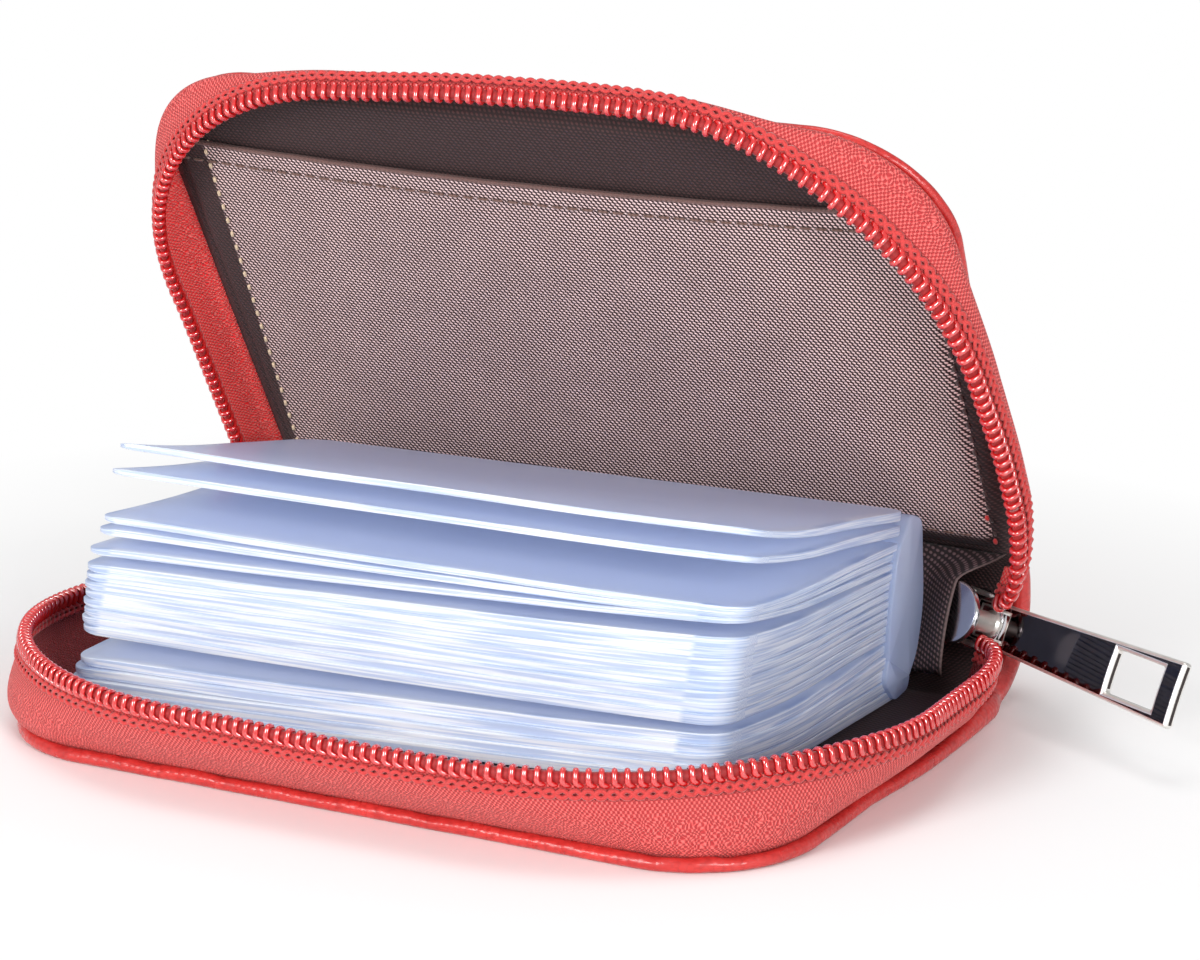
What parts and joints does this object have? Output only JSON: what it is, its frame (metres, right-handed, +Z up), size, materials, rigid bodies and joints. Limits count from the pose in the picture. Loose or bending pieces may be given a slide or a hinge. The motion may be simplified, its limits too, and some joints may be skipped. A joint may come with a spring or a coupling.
{
  "type": "zip card holder",
  "caption": "Zip-around leather card holder standing open, with coil zip, rounded spine, note pocket and a fan of clear card sleeves bound to the spine.",
  "frame": {"origin": "middle of the lower cover's flat underside, on the surface that the holder stands on", "axes": "+Z up, +X along the spine towards the zip's slider, +Y from the front edge to the spine"},
  "size_m": [0.1472, 0.0879, 0.0783],
  "materials": {
    "red_leather": "grained, semi-gloss",
    "greyboard": "pressed card, matte",
    "lining_cloth": "fine woven nylon",
    "zip_tape": "woven tape",
    "zip_nylon": "glossy",
    "clear_film": "frosted clear film",
    "nickel": "polished nickel"
  },
  "bodies": {
    "lower_cover": {"lower_leather": "red_leather", "lower_board": "greyboard", "lower_lining": "lining_cloth", "lower_zip_tape": "zip_tape", "lower_zip_coil": "zip_nylon", "lower_zip_stop": "nickel"},
    "spine": {"spine_leather": "red_leather", "spine_lining": "lining_cloth", "sleeve_binding": "clear_film", "zip_tail": "zip_tape", "lower_tape_end": "zip_tape", "lower_coil_end": "zip_nylon", "upper_tape_end": "zip_tape", "upper_coil_end": "zip_nylon"},
    "upper_cover": {"upper_leather": "red_leather", "upper_board": "greyboard", "upper_lining": "lining_cloth", "upper_zip_tape": "zip_tape", "upper_zip_coil": "zip_nylon", "upper_zip_stop": "nickel", "note_pocket": "lining_cloth"},
    "slider": {"slider": "nickel"},
    "puller": {"puller": "nickel"},
    "sleeve_01": {"sleeve_01": "clear_film"},
    "sleeve_02": {"sleeve_02": "clear_film"},
    "sleeve_03": {"sleeve_03": "clear_film"},
    "sleeve_04": {"sleeve_04": "clear_film"},
    "sleeve_05": {"sleeve_05": "clear_film"},
    "sleeve_06": {"sleeve_06": "clear_film"},
    "sleeve_07": {"sleeve_07": "clear_film"},
    "sleeve_08": {"sleeve_08": "clear_film"},
    "sleeve_09": {"sleeve_09": "clear_film"},
    "sleeve_10": {"sleeve_10": "clear_film"},
    "sleeve_11": {"sleeve_11": "clear_film"},
    "sleeve_12": {"sleeve_12": "clear_film"},
    "sleeve_13": {"sleeve_13": "clear_film"},
    "sleeve_14": {"sleeve_14": "clear_film"},
    "sleeve_15": {"sleeve_15": "clear_film"},
    "sleeve_16": {"sleeve_16": "clear_film"},
    "sleeve_17": {"sleeve_17": "clear_film"},
    "sleeve_18": {"sleeve_18": "clear_film"}
  },
  "joints": [
    {"name": "lower_fold", "type": "hinge", "parent": "lower_cover", "child": "spine", "pos_m": [0, 0.0345, 0.00075], "axis": [-1, 0, 0], "range_deg": [-30.25, 15], "deforming": ["lower_tape_end", "lower_coil_end", "upper_tape_end", "upper_coil_end"]},
    {"name": "upper_fold", "type": "hinge", "parent": "spine", "child": "upper_cover", "pos_m": [0, 0.04438, 0.01769], "axis": [-1, 0, 0], "range_deg": [-30.25, 15], "deforming": ["lower_tape_end", "lower_coil_end", "upper_tape_end", "upper_coil_end"]},
    {"name": "zip_slide", "type": "slide", "parent": "spine", "child": "slider", "axis": [0.8829, -0.4695, 0], "range_m": [0, 0.006], "deforming": ["lower_tape_end", "lower_coil_end", "upper_tape_end", "upper_coil_end"]},
    {"name": "puller_swing", "type": "hinge", "parent": "slider", "child": "puller", "pos_m": [0.05144, 0.0403, 0.01026], "axis": [0.1759, 0.3308, 0.9272], "range_deg": [-3, 60]},
    {"name": "sleeve_01_fan", "type": "hinge", "parent": "spine", "child": "sleeve_01", "pos_m": [0, 0.02836, 0.0074], "axis": [-1, 0, 0], "range_deg": [-18, 35]},
    {"name": "sleeve_02_fan", "type": "hinge", "parent": "spine", "child": "sleeve_02", "pos_m": [0, 0.02834, 0.00832], "axis": [-1, 0, 0], "range_deg": [-18, 36]},
    {"name": "sleeve_03_fan", "type": "hinge", "parent": "spine", "child": "sleeve_03", "pos_m": [0, 0.02832, 0.00924], "axis": [-1, 0, 0], "range_deg": [-18, 36]},
    {"name": "sleeve_04_fan", "type": "hinge", "parent": "spine", "child": "sleeve_04", "pos_m": [0, 0.0283, 0.01016], "axis": [-1, 0, 0], "range_deg": [-19, 36]},
    {"name": "sleeve_05_fan", "type": "hinge", "parent": "spine", "child": "sleeve_05", "pos_m": [0, 0.02828, 0.01108], "axis": [-1, 0, 0], "range_deg": [-19, 36]},
    {"name": "sleeve_06_fan", "type": "hinge", "parent": "spine", "child": "sleeve_06", "pos_m": [0, 0.02825, 0.012], "axis": [-1, 0, 0], "range_deg": [-17, 33]},
    {"name": "sleeve_07_fan", "type": "hinge", "parent": "spine", "child": "sleeve_07", "pos_m": [0, 0.02823, 0.01292], "axis": [-1, 0, 0], "range_deg": [-17, 32]},
    {"name": "sleeve_08_fan", "type": "hinge", "parent": "spine", "child": "sleeve_08", "pos_m": [0, 0.02821, 0.01384], "axis": [-1, 0, 0], "range_deg": [-17, 32]},
    {"name": "sleeve_09_fan", "type": "hinge", "parent": "spine", "child": "sleeve_09", "pos_m": [0, 0.02819, 0.01476], "axis": [-1, 0, 0], "range_deg": [-17, 32]},
    {"name": "sleeve_10_fan", "type": "hinge", "parent": "spine", "child": "sleeve_10", "pos_m": [0, 0.02817, 0.01568], "axis": [-1, 0, 0], "range_deg": [-17, 32]},
    {"name": "sleeve_11_fan", "type": "hinge", "parent": "spine", "child": "sleeve_11", "pos_m": [0, 0.02815, 0.01661], "axis": [-1, 0, 0], "range_deg": [-16, 32]},
    {"name": "sleeve_12_fan", "type": "hinge", "parent": "spine", "child": "sleeve_12", "pos_m": [0, 0.02813, 0.01752], "axis": [-1, 0, 0], "range_deg": [-16, 31]},
    {"name": "sleeve_13_fan", "type": "hinge", "parent": "spine", "child": "sleeve_13", "pos_m": [0, 0.02811, 0.01845], "axis": [-1, 0, 0], "range_deg": [-16, 31]},
    {"name": "sleeve_14_fan", "type": "hinge", "parent": "spine", "child": "sleeve_14", "pos_m": [0, 0.02809, 0.01937], "axis": [-1, 0, 0], "range_deg": [-16, 30]},
    {"name": "sleeve_15_fan", "type": "hinge", "parent": "spine", "child": "sleeve_15", "pos_m": [0, 0.02806, 0.02029], "axis": [-1, 0, 0], "range_deg": [-15, 28]},
    {"name": "sleeve_16_fan", "type": "hinge", "parent": "spine", "child": "sleeve_16", "pos_m": [0, 0.02804, 0.02121], "axis": [-1, 0, 0], "range_deg": [-14, 27]},
    {"name": "sleeve_17_fan", "type": "hinge", "parent": "spine", "child": "sleeve_17", "pos_m": [0, 0.02802, 0.02213], "axis": [-1, 0, 0], "range_deg": [-11, 20]},
    {"name": "sleeve_18_fan", "type": "hinge", "parent": "spine", "child": "sleeve_18", "pos_m": [0, 0.028, 0.02305], "axis": [-1, 0, 0], "range_deg": [-9, 17]}
  ],
  "couplings": [
    {"joint": "sleeve_01_fan", "follows": "lower_fold", "ratio": -1.1223},
    {"joint": "sleeve_02_fan", "follows": "lower_fold", "ratio": -1.1264},
    {"joint": "sleeve_03_fan", "follows": "lower_fold", "ratio": -1.1306},
    {"joint": "sleeve_04_fan", "follows": "lower_fold", "ratio": -1.1347},
    {"joint": "sleeve_05_fan", "follows": "lower_fold", "ratio": -1.1388},
    {"joint": "sleeve_06_fan", "follows": "lower_fold", "ratio": -1.0297},
    {"joint": "sleeve_07_fan", "follows": "lower_fold", "ratio": -1.0229},
    {"joint": "sleeve_08_fan", "follows": "lower_fold", "ratio": -1.0161},
    {"joint": "sleeve_09_fan", "follows": "lower_fold", "ratio": -1.0092},
    {"joint": "sleeve_10_fan", "follows": "lower_fold", "ratio": -1.0024},
    {"joint": "sleeve_11_fan", "follows": "lower_fold", "ratio": -0.99551},
    {"joint": "sleeve_12_fan", "follows": "lower_fold", "ratio": -0.98867},
    {"joint": "sleeve_13_fan", "follows": "lower_fold", "ratio": -0.98182},
    {"joint": "sleeve_14_fan", "follows": "lower_fold", "ratio": -0.93388},
    {"joint": "sleeve_15_fan", "follows": "lower_fold", "ratio": -0.8843},
    {"joint": "sleeve_16_fan", "follows": "lower_fold", "ratio": -0.83471},
    {"joint": "sleeve_17_fan", "follows": "lower_fold", "ratio": -0.62314},
    {"joint": "sleeve_18_fan", "follows": "lower_fold", "ratio": -0.52397}
  ]
}
